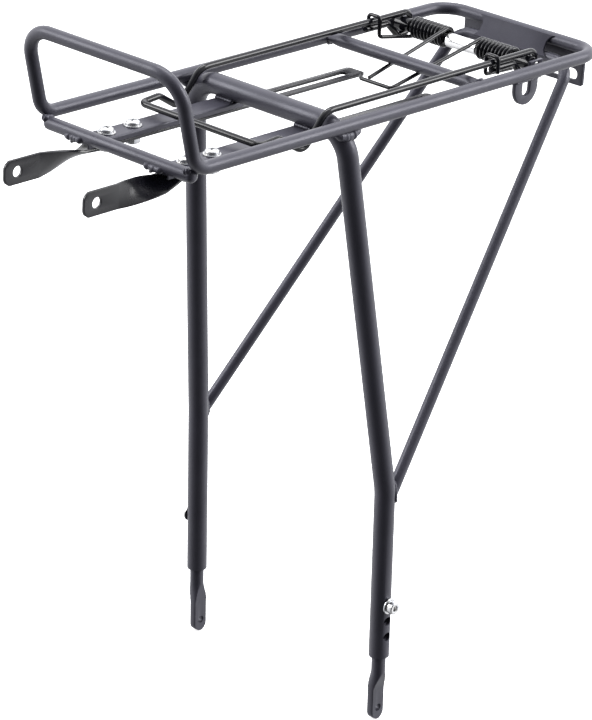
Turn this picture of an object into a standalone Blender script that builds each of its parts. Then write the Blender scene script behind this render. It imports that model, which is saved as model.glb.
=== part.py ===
"""Bicycle rear carrier with a sprung bail clamp. Metres, +X forward, +Y left side of the bicycle, +Z up.
The origin is the middle of the line through the two foot eyelets."""

import math

import bmesh
import bpy
import numpy as np
from mathutils import Matrix, Vector

MM = 0.001
GAP = 0.3

RAIL_Z = 425.0
RAIL_Y = 67.5
RAIL_REAR_Y = 69.0
RAIL_RADIUS = 4.4
RAIL_BORE = 3.2
REAR_X = -206.3
REAR_CORNER = 18.5
HOOP_FOOT_X = 183.4
HOOP_TOP = (199.2, 66.5, 485.1)
HOOP_FOOT_BEND = 14.0
HOOP_TOP_BEND = 21.0
BUTT_JOINT = 0.3

FRONT_CROSS_X = 182.6
FRONT_CROSS_DROP = 4.8
FRONT_CROSS_HALF = 61.2
SECOND_CROSS_X = -82.7

LEG_RADIUS = 7.1
LEG_BORE = 5.3
LEG_Y = 87.2
LEG_TILT = 0.05
LEG_END_Z = 41.5
KINK_Z = 167.0
MAIN_CROSS_X = 48.6
MAIN_CROSS_DROP = 1.9
LEG_TOP_Y = 66.2
LEG_TOP_BEND = 23.0
HOLE_HEIGHTS = (82.0, 70.0, 58.0)
LEG_HOLE = 3.2
FOOT_ROD = 4.9
FOOT_HEAD = {1: 4.5, -1: 1.3}
FOOT_HALF_WIDTH = 5.9
FOOT_HALF_THICK = 2.6
FOOT_INSET = 1.6

BRACE_RADIUS = 4.1
BRACE_FOOT = (5.3, 88.9, 160.3)
BRACE_CORNER = (-199.7, 50.4, 413.1)
BRACE_BEND = 16.0
TAIL_HALF = 31.0

CHANNEL_Y = 35.0
CHANNEL_X = (43.3, 181.5)
CHANNEL_WIDTH = 17.0
CHANNEL_HEIGHT = 3.9
CHANNEL_WALL = 1.5
CHANNEL_TOP_Z = 415.6
STAY_BOLT_X = (158.3, 135.3)
STAY_SHANK = 2.4
NUT_HEIGHT = 4.5

STRIP_WIDTH = 16.4
STRIP_THICK = 2.0
STRIP_X = (-76.3, 244.2)
TWIST_X = (168.0, 216.0)
DROP_X = (163.0, 181.0)
TWIST_DROP = 3.7
TAB_HOLE_X = 233.6
TAB_HOLE_RADIUS = 3.6
STRIP_SLOT_X = (-65.5, 161.7)
STRIP_SLOT_HALF = 3.0

AXLE_X = -145.0
AXLE_Z = 426.3
AXLE_RADIUS = 2.5
AXLE_HALF = 64.2
AXLE_LUG_Y = 62.8
SLEEVE_RADIUS = 4.9
SLEEVE_BORE = 4.1
SLEEVE_DROP = 1.3
SLEEVE_HALF = 13.3
BUSH_RADIUS = 4.9
BUSH_Y = (47.1, 60.1)
COIL_RADIUS = 6.3
COIL_WIRE = 1.2
COIL_TURNS = 9
COIL_Y = (15.0, 44.5)

BAIL_WIRE = 2.25
BAIL_REAR_Y = 56.0
BAIL_FRONT_Y = 55.4
BAIL_NOSE_Y = 52.9
BAIL_NOSE_X = 111.2
BAIL_REAR_Z = 433.8
BAIL_FRONT_Z = 432.7
BAIL_BEND_X = 55.1
EYE_REACH = 7.6
HAIRPIN_X = -106.0
HAIRPIN_DROP = 4.8
HOOK_X = {1: -108.6, -1: -113.6}
HOOK_TOP = 437.4
HOOK_BOTTOM = 423.6

TUBE_SIDES = 14
ROD_SIDES = 12
WIRE_SIDES = 8
COIL_SIDES = 6
BEND_STEPS = 6

CHARCOAL = (0.052, 0.053, 0.058)
BLACK = (0.012, 0.012, 0.013)
ZINC = (0.72, 0.72, 0.70)
SILVER = (0.83, 0.83, 0.84)


def clear_scene():
    for obj in list(bpy.data.objects):
        bpy.data.objects.remove(obj, do_unlink=True)


def material(name, colour, roughness, metallic):
    made = bpy.data.materials.new(name)
    made.use_nodes = True
    shader = made.node_tree.nodes["Principled BSDF"]
    shader.inputs["Base Color"].default_value = (*colour, 1.0)
    shader.inputs["Roughness"].default_value = roughness
    shader.inputs["Metallic"].default_value = metallic
    return made


def powder_coat(name):
    return material(name + "_coat", CHARCOAL, 0.42, 0.35)


def gloss_black(name):
    return material(name + "_gloss", BLACK, 0.18, 0.4)


def zinc(name):
    return material(name + "_zinc", ZINC, 0.26, 1.0)


def bright(name):
    return material(name + "_bright", SILVER, 0.2, 1.0)


def add_object(name, mesh_builder, finish, origin=(0.0, 0.0, 0.0)):
    """One named object from a bmesh in millimetres, with its origin on the point given."""
    bmesh.ops.recalc_face_normals(mesh_builder, faces=mesh_builder.faces)
    shift = Matrix.Translation(-Vector(origin))
    bmesh.ops.transform(mesh_builder, matrix=Matrix.Scale(MM, 4) @ shift, verts=mesh_builder.verts)
    mesh = bpy.data.meshes.new(name)
    mesh_builder.to_mesh(mesh)
    mesh_builder.free()
    for face in mesh.polygons:
        face.use_smooth = True
    mesh.set_sharp_from_angle(angle=math.radians(38))
    obj = bpy.data.objects.new(name, mesh)
    obj.location = Vector(origin) * MM
    bpy.context.scene.collection.objects.link(obj)
    if finish:
        mesh.materials.append(finish(name))
    return obj


def cut(target, cutter):
    cutter.hide_render = True
    cutter.display_type = "WIRE"
    modifier = target.modifiers.new("cut_" + cutter.name, "BOOLEAN")
    modifier.operation = "DIFFERENCE"
    modifier.solver = "EXACT"
    modifier.object = cutter


def rounded_path(points, radii, steps=BEND_STEPS):
    """The polyline through the points, with each inner corner replaced by an arc of the radius given."""
    corners = [Vector(point) for point in points]
    path = [corners[0]]
    for before, corner, after, radius in zip(corners, corners[1:], corners[2:], radii):
        back = (before - corner).normalized()
        ahead = (after - corner).normalized()
        half_angle = back.angle(ahead) / 2
        centre = corner + (back + ahead).normalized() * (radius / math.sin(half_angle))
        start = corner + back * (radius / math.tan(half_angle)) - centre
        end = corner + ahead * (radius / math.tan(half_angle)) - centre
        sweep = start.angle(end)
        for step in range(steps + 1):
            share = step / steps
            arm = start * math.sin((1 - share) * sweep) + end * math.sin(share * sweep)
            path.append(centre + arm / math.sin(sweep))
    path.append(corners[-1])
    return path


def mirrored(path):
    """The path, then its mirror image in the plane Y = 0, in one run."""
    return list(path) + [Vector((point.x, -point.y, point.z)) for point in reversed(path)]


def path_frames(path):
    """A pair of unit vectors across the path at each of its points, carried along without twist."""
    ways = []
    for index in range(len(path)):
        behind = path[max(index - 1, 0)]
        ahead = path[min(index + 1, len(path) - 1)]
        incoming = (path[index] - behind).normalized()
        outgoing = (ahead - path[index]).normalized()
        ways.append((incoming + outgoing).normalized())
    across = ways[0].orthogonal().normalized()
    frames = []
    for way in ways:
        across = (across - way * across.dot(way)).normalized()
        frames.append((across, way.cross(across)))
    return frames


def ring(builder, centre, side, up, outline):
    return [builder.verts.new(centre + side * point[0] + up * point[1]) for point in outline]


def skin(builder, rings):
    for first, second in zip(rings, rings[1:]):
        for index in range(len(first)):
            after = (index + 1) % len(first)
            builder.faces.new((first[index], first[after], second[after], second[index]))


def circle(radius, sides):
    turns = [2 * math.pi * index / sides for index in range(sides)]
    return [(radius * math.cos(turn), radius * math.sin(turn)) for turn in turns]


def swept(path, radius, sides, bore=0.0):
    """A round bar along the path, or a tube with open ends if it has a bore."""
    builder = bmesh.new()
    frames = path_frames(path)
    outer = [ring(builder, p, *f, circle(radius, sides)) for p, f in zip(path, frames)]
    skin(builder, outer)
    if not bore:
        builder.faces.new(outer[0])
        builder.faces.new(outer[-1])
        return builder
    inner = [ring(builder, p, *f, circle(bore, sides)) for p, f in zip(path, frames)]
    skin(builder, inner)
    skin(builder, [outer[0], inner[0]])
    skin(builder, [outer[-1], inner[-1]])
    return builder


def turned(profile, origin, axis, sides):
    """A solid of revolution: profile is a closed loop of (distance along the axis, radius)."""
    builder = bmesh.new()
    along = Vector(axis).normalized()
    side = along.orthogonal().normalized()
    up = along.cross(side)
    rings = []
    for distance, radius in profile:
        centre = Vector(origin) + along * distance
        rings.append(ring(builder, centre, side, up, circle(radius, sides)))
    skin(builder, rings + [rings[0]] if profile_is_bored(profile) else rings)
    if not profile_is_bored(profile):
        builder.faces.new(rings[0])
        builder.faces.new(rings[-1])
    return builder


def profile_is_bored(profile):
    return profile[0][0] == profile[-1][0]


def plate(loops, thickness, centre, across, up):
    """A flat plate from an outline and its windows, drawn in the plane of the vectors across and up."""
    builder = bmesh.new()
    across, up = Vector(across), Vector(up)
    normal = across.cross(up).normalized()
    base = Vector(centre) - normal * (thickness / 2)
    edges = []
    for loop in loops:
        corners = ring(builder, base, across, up, loop)
        edges += [builder.edges.new((a, b)) for a, b in zip(corners, corners[1:] + corners[:1])]
    bmesh.ops.triangle_fill(builder, use_beauty=True, edges=edges)
    made = bmesh.ops.extrude_face_region(builder, geom=builder.faces[:])
    moved = [item for item in made["geom"] if isinstance(item, bmesh.types.BMVert)]
    bmesh.ops.translate(builder, vec=normal * thickness, verts=moved)
    return builder


def corner_arc(centre, radius, start, end, steps):
    turns = np.radians(np.linspace(start, end, steps + 1))
    return [(centre[0] + radius * math.cos(turn), centre[1] + radius * math.sin(turn)) for turn in turns]


def rounded_box(low, high, radius, steps=3):
    (left, bottom), (right, top) = low, high
    outline = corner_arc((right - radius, top - radius), radius, 0, 90, steps)
    outline += corner_arc((left + radius, top - radius), radius, 90, 180, steps)
    outline += corner_arc((left + radius, bottom + radius), radius, 180, 270, steps)
    outline += corner_arc((right - radius, bottom + radius), radius, 270, 360, steps)
    return outline


def rail_y(x):
    """How far the rails' axes are from the middle at this x: they spread a little to the rear."""
    share = (HOOP_FOOT_X - x) / (HOOP_FOOT_X - REAR_X)
    return RAIL_Y + share * (RAIL_REAR_Y - RAIL_Y)


def leg_axis(height):
    """The point of the left lower leg's axis at this height above the eyelets."""
    return Vector((LEG_TILT * height, LEG_Y, height))


def loop_path():
    half = [
        (REAR_X, BUTT_JOINT / 2, RAIL_Z),
        (REAR_X, RAIL_REAR_Y, RAIL_Z),
        (HOOP_FOOT_X, RAIL_Y, RAIL_Z),
        HOOP_TOP,
        (HOOP_TOP[0], 0.0, HOOP_TOP[2]),
    ]
    path = rounded_path(half, (REAR_CORNER, HOOP_FOOT_BEND, HOOP_TOP_BEND))[:-1]
    return mirrored(path)


def build_side_loop():
    add_object("side_loop_tube", swept(loop_path(), RAIL_RADIUS, ROD_SIDES, RAIL_BORE), powder_coat)
    return add_object("loop_cutter", swept(loop_path(), RAIL_RADIUS + GAP, ROD_SIDES), None)


def build_front_cross():
    height = RAIL_Z - FRONT_CROSS_DROP
    path = [Vector((FRONT_CROSS_X, side * FRONT_CROSS_HALF, height)) for side in (1, -1)]
    add_object("front_cross_tube", swept(path, RAIL_RADIUS, TUBE_SIDES, RAIL_BORE), powder_coat)


def build_second_cross(loop_cutter):
    path = [Vector((SECOND_CROSS_X, side * rail_y(SECOND_CROSS_X), RAIL_Z)) for side in (1, -1)]
    tube = add_object("second_cross_tube", swept(path, RAIL_RADIUS, TUBE_SIDES, RAIL_BORE), powder_coat)
    cut(tube, loop_cutter)


def leg_path():
    half = [
        leg_axis(LEG_END_Z),
        leg_axis(KINK_Z),
        Vector((MAIN_CROSS_X, LEG_TOP_Y, RAIL_Z - MAIN_CROSS_DROP)),
        Vector((MAIN_CROSS_X, 0.0, RAIL_Z - MAIN_CROSS_DROP)),
    ]
    return mirrored(rounded_path(half, (60.0, LEG_TOP_BEND))[:-1])


def build_leg_hoop(loop_cutter):
    hoop = add_object("leg_hoop_tube", swept(leg_path(), LEG_RADIUS, TUBE_SIDES, LEG_BORE), powder_coat)
    cut(hoop, loop_cutter)
    for side in (1, -1):
        for height in HOLE_HEIGHTS:
            centre = leg_axis(height)
            centre.y *= side
            drill = [(0.0, LEG_HOLE), (LEG_RADIUS + 2.0, LEG_HOLE)]
            name = "leg_drill_{}_{:.0f}".format("left" if side > 0 else "right", height)
            cut(hoop, add_object(name, turned(drill, centre, (0, side, 0), 12), None))
    return add_object("leg_cutter", swept(leg_path(), LEG_RADIUS + GAP, TUBE_SIDES), None)


def build_brace_hoop(leg_cutter):
    corner = Vector(BRACE_CORNER)
    half = [Vector(BRACE_FOOT), corner, Vector((corner.x, 0.0, corner.z))]
    path = mirrored(rounded_path(half, (BRACE_BEND,))[:-1])
    hoop = add_object("brace_hoop_tube", swept(path, BRACE_RADIUS, ROD_SIDES), powder_coat)
    cut(hoop, leg_cutter)


def build_tail_plate():
    low = Vector((-195.3, 0.0, 415.9))
    high = Vector((-201.3, 0.0, 427.1))
    up = (high - low).normalized()
    height = (high - low).length / 2
    outline = rounded_box((-TAIL_HALF, -height), (TAIL_HALF, height), 2.5)
    add_object("tail_plate", plate([outline], 1.4, (low + high) / 2, (0, 1, 0), up), powder_coat)


def build_channel(name, side):
    half = CHANNEL_WIDTH / 2
    inner = half - CHANNEL_WALL
    bottom = -CHANNEL_HEIGHT
    profile = [(half, 0.0), (half, bottom), (inner, bottom), (inner, -CHANNEL_WALL)]
    profile += [(-across, height) for across, height in reversed(profile)]
    length = CHANNEL_X[1] - CHANNEL_X[0]
    centre = (sum(CHANNEL_X) / 2, side * CHANNEL_Y, CHANNEL_TOP_Z)
    channel = add_object(name, plate([profile], length, centre, (0, 1, 0), (0, 0, 1)), powder_coat)
    for number, bolt_x in enumerate(STAY_BOLT_X):
        base = (bolt_x, side * CHANNEL_Y, CHANNEL_TOP_Z - 3.0)
        drill = [(0.0, 2.8), (6.0, 2.8)]
        cut(channel, add_object("{}_drill_{}".format(name, number), turned(drill, base, (0, 0, 1), 12), None))


def build_pannier_lug():
    half, slot = 12.0, 3.9
    top, drop = -RAIL_RADIUS - GAP, -21.2
    outline = [(half, top)] + corner_arc((0.0, drop + half), half, 0, -180, 12) + [(-half, top)]
    outline += [(-slot, top)] + corner_arc((0.0, -11.1), slot, 180, 360, 6) + [(slot, top)]
    centre = (-128.0, rail_y(-128.0), RAIL_Z)
    add_object("pannier_lug", plate([outline], 3.0, centre, (1, 0, 0), (0, 0, 1)), powder_coat)


def build_reflector_bracket():
    outline = rounded_box((-54.0, -29.5), (54.0, -4.0), 2.0)
    windows = []
    for side in (1, -1):
        window = corner_arc((45.2, -22.2), 3.9, 90, -90, 6) + corner_arc((28.0, -22.2), 3.9, -90, -270, 6)
        windows.append([(side * across, height) for across, height in window])
    centre = (-211.6, 0.0, RAIL_Z)
    add_object("reflector_bracket", plate([outline] + windows, 2.0, centre, (0, 1, 0), (0, 0, 1)), powder_coat)


def build_axle():
    axle = [(-AXLE_HALF, AXLE_RADIUS), (AXLE_HALF, AXLE_RADIUS)]
    centre = (AXLE_X, 0.0, AXLE_Z)
    add_object("clamp_axle", turned(axle, centre, (0, 1, 0), 16), zinc, centre)
    sleeve = [
        (-SLEEVE_HALF, SLEEVE_BORE),
        (SLEEVE_HALF, SLEEVE_BORE),
        (SLEEVE_HALF, SLEEVE_RADIUS),
        (-SLEEVE_HALF, SLEEVE_RADIUS),
    ]
    hung = (AXLE_X, 0.0, AXLE_Z - SLEEVE_DROP)
    add_object("axle_sleeve", turned(sleeve, hung, (0, 1, 0), 20), bright, hung)


def build_axle_bush(name, side):
    inner = AXLE_RADIUS + GAP
    profile = [(BUSH_Y[0], inner), (BUSH_Y[1], inner), (BUSH_Y[1], BUSH_RADIUS), (BUSH_Y[0], BUSH_RADIUS)]
    centre = (AXLE_X, 0.0, AXLE_Z)
    add_object(name, turned(profile, centre, (0, side, 0), 20), gloss_black, centre)


def build_axle_lug(name, side):
    outline = [(6.5, 3.7), (7.2, 0.0), (2.3, -8.7), (-0.7, -9.3), (-6.3, -9.3), (-6.3, 3.7)]
    hole = circle(AXLE_RADIUS + GAP, 14)
    centre = (AXLE_X, side * AXLE_LUG_Y, AXLE_Z)
    add_object(name, plate([outline, hole], 2.2, centre, (1, 0, 0), (0, 0, 1)), powder_coat)


def coil_points(side):
    """The coil from its inner end, over the top and forward, to its outer end at the bottom."""
    start = math.radians(78.7)
    end = start + 2 * math.pi * COIL_TURNS + math.radians(191.3)
    steps = COIL_TURNS * 12 + 6
    points = []
    for step in range(steps + 1):
        share = step / steps
        turn = start + share * (end - start)
        across = side * (COIL_Y[0] + share * (COIL_Y[1] - COIL_Y[0]))
        points.append(
            Vector((AXLE_X + COIL_RADIUS * math.cos(turn), across, AXLE_Z + COIL_RADIUS * math.sin(turn)))
        )
    return points


def build_spring(name, side):
    if side > 0:
        foot = [(-61.7, -18.0, -10.6), (-58.1, -15.0, -11.3), (-58.1, 11.0, -11.3), (-61.7, 11.4, -10.6)]
    else:
        foot = [(-61.9, -11.4, -10.5)]
    inner = [Vector((x, y, RAIL_Z + z)) for x, y, z in foot]
    hook = [
        (AXLE_X + 4.0, 45.0, AXLE_Z - 6.2),
        (HOOK_X[side], 49.6, HOOK_BOTTOM),
        (HOOK_X[side], 49.6, HOOK_TOP),
        (HOOK_X[side], 60.0, HOOK_TOP),
        (HOOK_X[side], 60.0, HOOK_BOTTOM + 3.0),
    ]
    outer = [Vector((x, side * y, z)) for x, y, z in hook]
    outer = rounded_path(outer, (3.0, 2.6, 2.6), 3)
    path = inner + coil_points(side) + outer
    add_object(name, swept(path, COIL_WIRE, COIL_SIDES), gloss_black)


def bail_half():
    """The left half of the bail: the end of its hairpin, the turn round the axle, the arm and the nose."""
    back_x = AXLE_X - EYE_REACH
    slope = (BAIL_REAR_Z - BAIL_FRONT_Z) / (BAIL_BEND_X - back_x)
    tip_z = BAIL_REAR_Z - slope * (HAIRPIN_X - back_x) - HAIRPIN_DROP
    shape = [
        (HAIRPIN_X, BAIL_REAR_Y, tip_z),
        (AXLE_X + 16.0, BAIL_REAR_Y, tip_z),
        (AXLE_X + 5.0, BAIL_REAR_Y, AXLE_Z - EYE_REACH),
        (back_x, BAIL_REAR_Y, AXLE_Z - EYE_REACH),
        (back_x, BAIL_REAR_Y, BAIL_REAR_Z),
        (BAIL_BEND_X, BAIL_FRONT_Y, BAIL_FRONT_Z),
        (74.4, BAIL_FRONT_Y, RAIL_Z - 14.6),
        (94.8, BAIL_NOSE_Y, RAIL_Z - 2.6),
        (BAIL_NOSE_X, BAIL_NOSE_Y, RAIL_Z - 4.1),
        (BAIL_NOSE_X, 0.0, RAIL_Z - 4.1),
    ]
    return rounded_path(shape, (5.0, 5.0, 6.5, 6.5, 14.0, 7.0, 7.0, 5.0))[:-1]


def build_bail():
    pivot = (AXLE_X, 0.0, AXLE_Z)
    add_object("clamp_bail", swept(mirrored(bail_half()), BAIL_WIRE, WIRE_SIDES), gloss_black, pivot)


def foot_section(half_width, half_thick):
    """A round bar pressed flat: its outline is clipped to the thickness given."""
    outline = []
    for across, height in circle(1.0, 16):
        outline.append((half_width * across, max(-half_thick, min(half_thick, 4.5 * height))))
    return outline


def build_foot_rod(name, side):
    stations = [
        (140.0, FOOT_ROD, FOOT_ROD, 0.0),
        (28.0, FOOT_ROD, FOOT_ROD, 0.0),
        (24.0, 5.2, 3.9, 0.5),
        (19.0, 5.7, 2.9, FOOT_INSET),
        (15.0, FOOT_HALF_WIDTH, FOOT_HALF_THICK, FOOT_INSET),
    ]
    for turn in (0, 20, 40, 60, 76):
        drop = -2.9 - FOOT_HALF_WIDTH * math.sin(math.radians(turn))
        half_width = FOOT_HALF_WIDTH * math.cos(math.radians(turn))
        stations.append((drop, half_width, FOOT_HALF_THICK, FOOT_INSET))
    builder = bmesh.new()
    rings = []
    for height, half_width, half_thick, inset in stations:
        centre = leg_axis(height)
        centre.y = side * (centre.y - inset)
        section = foot_section(half_width, half_thick)
        rings.append(ring(builder, centre, Vector((1, 0, 0)), Vector((0, 1, 0)), section))
    skin(builder, rings)
    builder.faces.new(rings[0])
    builder.faces.new(rings[-1])
    rod = add_object(name, builder, powder_coat)
    drill = turned([(-5.0, 2.75), (5.0, 2.75)], (0.0, side * LEG_Y, 0.0), (0, 1, 0), 16)
    cut(rod, add_object(name + "_drill", drill, None))


def washer(inner, outer, low, high):
    return [(low, inner), (high, inner), (high, outer), (low, outer)]


def build_foot_bolt(word, side):
    centre = leg_axis(HOLE_HEIGHTS[0])
    centre.y *= side
    face = LEG_RADIUS + GAP
    ring_profile = washer(2.6, 5.6, face, face + 1.0)
    add_object("foot_washer_" + word, turned(ring_profile, centre, (0, side, 0), 20), zinc)
    seat = face + 1.0 + GAP
    rim = seat + FOOT_HEAD[side]
    bolt = [(FOOT_ROD + GAP, 2.3), (seat, 2.3), (seat, 4.4), (rim, 4.4), (rim + 0.5, 3.9)]
    add_object("foot_bolt_" + word, turned(bolt, centre, (0, side, 0), 16), zinc)


def build_stay_bolt(word, side, place, bolt_x):
    centre = (bolt_x, side * CHANNEL_Y, CHANNEL_TOP_Z)
    ring_profile = washer(2.7, 5.9, GAP, GAP + 0.9)
    add_object("stay_washer_{}_{}".format(word, place), turned(ring_profile, centre, (0, 0, 1), 20), zinc)
    seat = 2 * GAP + 0.9
    nut_top = -CHANNEL_HEIGHT - STRIP_THICK - 2 * GAP
    tip = nut_top - NUT_HEIGHT - 1.2
    bolt = [(tip, STAY_SHANK), (seat, STAY_SHANK), (seat, 4.9), (seat + 1.7, 4.7), (seat + 2.9, 3.2)]
    add_object("stay_bolt_{}_{}".format(word, place), turned(bolt, centre, (0, 0, 1), 16), zinc)
    nut = washer(3.2, 5.4, nut_top - NUT_HEIGHT, nut_top)
    add_object("stay_nut_{}_{}".format(word, place), turned(nut, centre, (0, 0, 1), 6), zinc)


def share_along(x, span):
    return min(max((x - span[0]) / (span[1] - span[0]), 0.0), 1.0)


def strip_stations():
    """(x, half width) along a stay strip, from its rear end to the tip of its tab."""
    half = STRIP_WIDTH / 2
    stations = [(STRIP_X[0], half - 2.2), (STRIP_X[0] + 2.2, half), (DROP_X[0], half)]
    stations += [(x, half) for x in np.linspace(TWIST_X[0], TWIST_X[1], 13)]
    stations += [(STRIP_X[1] - 4.0, half), (STRIP_X[1] - 1.2, half - 2.0), (STRIP_X[1], half - 4.6)]
    return stations


def build_strip(name, side):
    middle_z = CHANNEL_TOP_Z - CHANNEL_HEIGHT - GAP - STRIP_THICK / 2
    builder = bmesh.new()
    rings = []
    for x, half in strip_stations():
        turn = share_along(x, TWIST_X) * math.pi / 2
        across = Vector((0.0, math.cos(turn), -side * math.sin(turn)))
        up = Vector((1, 0, 0)).cross(across)
        thick = STRIP_THICK / 2
        outline = [(half, thick), (-half, thick), (-half, -thick), (half, -thick)]
        centre = Vector((x, side * CHANNEL_Y, middle_z - share_along(x, DROP_X) * TWIST_DROP))
        rings.append(ring(builder, centre, across, up, outline))
    skin(builder, rings)
    builder.faces.new(rings[0])
    builder.faces.new(rings[-1])
    strip = add_object(name, builder, gloss_black)
    rear, front = (STRIP_SLOT_X[0] + STRIP_SLOT_HALF, STRIP_SLOT_X[1] - STRIP_SLOT_HALF)
    outline = corner_arc((front, 0.0), STRIP_SLOT_HALF, -90, 90, 6)
    outline += corner_arc((rear, 0.0), STRIP_SLOT_HALF, 90, 270, 6)
    slot = plate([outline], 6.0, (0.0, side * CHANNEL_Y, middle_z), (1, 0, 0), (0, 1, 0))
    cut(strip, add_object(name + "_slot", slot, None))
    drill = [(-5.0, TAB_HOLE_RADIUS), (5.0, TAB_HOLE_RADIUS)]
    hole = turned(drill, (TAB_HOLE_X, side * CHANNEL_Y, middle_z - TWIST_DROP), (0, 1, 0), 16)
    cut(strip, add_object(name + "_hole", hole, None))


def main():
    clear_scene()
    loop_cutter = build_side_loop()
    build_front_cross()
    build_second_cross(loop_cutter)
    leg_cutter = build_leg_hoop(loop_cutter)
    build_brace_hoop(leg_cutter)
    build_tail_plate()
    build_reflector_bracket()
    build_pannier_lug()
    build_axle()
    build_bail()
    for word, side in (("left", 1), ("right", -1)):
        build_channel("stay_channel_" + word, side)
        build_axle_bush("axle_bush_" + word, side)
        build_axle_lug("axle_lug_" + word, side)
        build_spring("spring_" + word, side)
        build_foot_rod("foot_rod_" + word, side)
        build_foot_bolt(word, side)
        build_strip("stay_strip_" + word, side)
        for place, bolt_x in zip(("front", "rear"), STAY_BOLT_X):
            build_stay_bolt(word, side, place, bolt_x)


main()
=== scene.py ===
"""How the bicycle rear carrier looks: finer meshes, welds, finishes, light and camera.
Lengths are in millimetres until a piece is made, and in metres for the floor, the lamps and the camera.
+X is forward, +Y left and +Z up. A side is 1 on the left and -1 on the right."""

import math

import bmesh
import bpy
import numpy as np
from mathutils import Matrix, Vector, noise


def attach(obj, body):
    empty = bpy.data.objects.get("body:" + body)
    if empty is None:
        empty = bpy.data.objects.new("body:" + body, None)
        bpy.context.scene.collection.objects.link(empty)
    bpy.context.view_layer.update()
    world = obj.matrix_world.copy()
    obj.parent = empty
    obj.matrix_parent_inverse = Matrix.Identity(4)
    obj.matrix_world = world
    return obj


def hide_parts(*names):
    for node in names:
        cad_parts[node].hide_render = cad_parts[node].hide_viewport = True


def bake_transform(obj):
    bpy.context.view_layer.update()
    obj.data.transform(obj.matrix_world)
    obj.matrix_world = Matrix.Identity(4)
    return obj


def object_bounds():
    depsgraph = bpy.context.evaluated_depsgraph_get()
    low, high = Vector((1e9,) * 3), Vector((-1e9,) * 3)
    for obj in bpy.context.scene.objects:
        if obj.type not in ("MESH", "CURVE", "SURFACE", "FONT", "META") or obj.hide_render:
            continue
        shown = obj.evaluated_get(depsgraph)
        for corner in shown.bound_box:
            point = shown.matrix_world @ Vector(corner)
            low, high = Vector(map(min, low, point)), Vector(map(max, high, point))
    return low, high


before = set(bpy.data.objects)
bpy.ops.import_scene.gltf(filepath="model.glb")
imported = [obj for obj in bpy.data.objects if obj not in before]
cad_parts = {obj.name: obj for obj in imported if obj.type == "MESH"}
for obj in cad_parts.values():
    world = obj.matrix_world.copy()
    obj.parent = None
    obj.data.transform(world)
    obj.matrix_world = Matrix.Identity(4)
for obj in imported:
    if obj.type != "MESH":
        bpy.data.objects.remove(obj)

MM = 0.001

RAIL_Z = 425.0
RAIL_Y = 67.5
RAIL_REAR_Y = 69.0
RAIL_RADIUS = 4.4
REAR_X = -206.3
REAR_CORNER = 18.5
HOOP_FOOT_X = 183.4
HOOP_TOP = (199.2, 66.5, 485.1)
HOOP_FOOT_BEND = 14.0
HOOP_TOP_BEND = 21.0
FRONT_CROSS_X = 182.6
FRONT_CROSS_Z = 420.2
FRONT_CROSS_ENDS = (-63.8, 66.9)
SECOND_CROSS_X = -82.7

LEG_RADIUS = 7.1
LEG_BORE = 5.3
LEG_Y = 87.2
LEG_TILT = 0.05
LEG_END_Z = 41.5
KINK_Z = 167.0
MAIN_CROSS_X = 48.6
MAIN_CROSS_Z = 423.1
LEG_TOP_Y = 66.2
LEG_KINK_BEND = 60.0
LEG_TOP_BEND = 23.0
HOLE_HEIGHTS = (82.0, 70.0, 58.0)
LEG_HOLE = 3.2
FOOT_ROD = 4.9
FOOT_ROD_TOP = 140.0
FOOT_PRESS_TOP = 29.0
FOOT_PRESS_LENGTH = 14.0
FOOT_PRESS_STEPS = 14
FOOT_HALF_WIDTH = 5.9
FOOT_HALF_THICK = 2.6
FOOT_INSET = 1.6
FOOT_SWELL = 0.35
FOOT_TIP_Z = -2.9
FOOT_EYELET = 2.75
FOOT_POCKET = 2.5
FOOT_HEAD = {1: 4.4, -1: 1.2}
FOOT_HEAD_RADIUS = 4.4
FOOT_SHANK = 2.0
FOOT_SOCKET = 2.3

BRACE_RADIUS = 4.1
BRACE_FOOT = (5.3, 88.9, 160.3)
BRACE_CORNER = (-199.7, 50.4, 413.1)
BRACE_BEND = 16.0

TAIL_LOW = (-195.3, 0.0, 415.9)
TAIL_HIGH = (-201.3, 0.0, 427.1)
TAIL_HALF = 28.6
TAIL_FLARE = 4.6
TAIL_TUCK = 1.6
TAIL_THICK = 1.6
TAIL_SET_BACK = 0.45

BRACKET_X = -211.6
BRACKET_THICK = 2.0
BRACKET_SHOULDER = (58.0, -8.0)
BRACKET_CORNER = (52.0, -27.5)
BRACKET_WINDOW = (28.0, 45.2)
BRACKET_WINDOW_DROP = -22.2
BRACKET_WINDOW_HALF = 3.9

LUG_X = -128.0
LUG_HALF = 12.0
LUG_DROP = 21.2
LUG_THICK = 3.0
LUG_SLOT_HALF = 3.9
LUG_SLOT_DROP = 11.1

CHANNEL_Y = 35.0
CHANNEL_X = (43.3, 181.5)
CHANNEL_WIDTH = 17.0
CHANNEL_HEIGHT = 3.9
CHANNEL_WALL = 1.5
CHANNEL_BEND = 1.4
CHANNEL_TOP_Z = 415.6
STAY_BOLT_X = (158.3, 135.3)
WASHER_THICK = 1.1
BOLT_SEAT = 1.15
BOLT_HEAD_RADIUS = 4.9
BOLT_HEAD_HEIGHT = 3.0
BOLT_SHANK = 2.4
BOLT_TIP_REACH = 5.7
THREAD_RADIUS = 2.45
THREAD_DEPTH = 0.35
THREAD_PITCH = 0.8
NUT_HEIGHT = 4.5
NUT_RADIUS = 5.4
NUT_HOLE = 2.5

STRIP_WIDTH = 16.4
STRIP_THICK = 2.0
STRIP_X = (-76.3, 244.2)
STRIP_Z = 410.4
TWIST_X = (168.0, 216.0)
DROP_X = (163.0, 181.0)
TWIST_DROP = 3.7
TAB_HOLE_X = 233.6
TAB_HOLE_RADIUS = 3.6
STRIP_SLOT_X = (-65.5, 161.7)
STRIP_SLOT_HALF = 3.0

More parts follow.
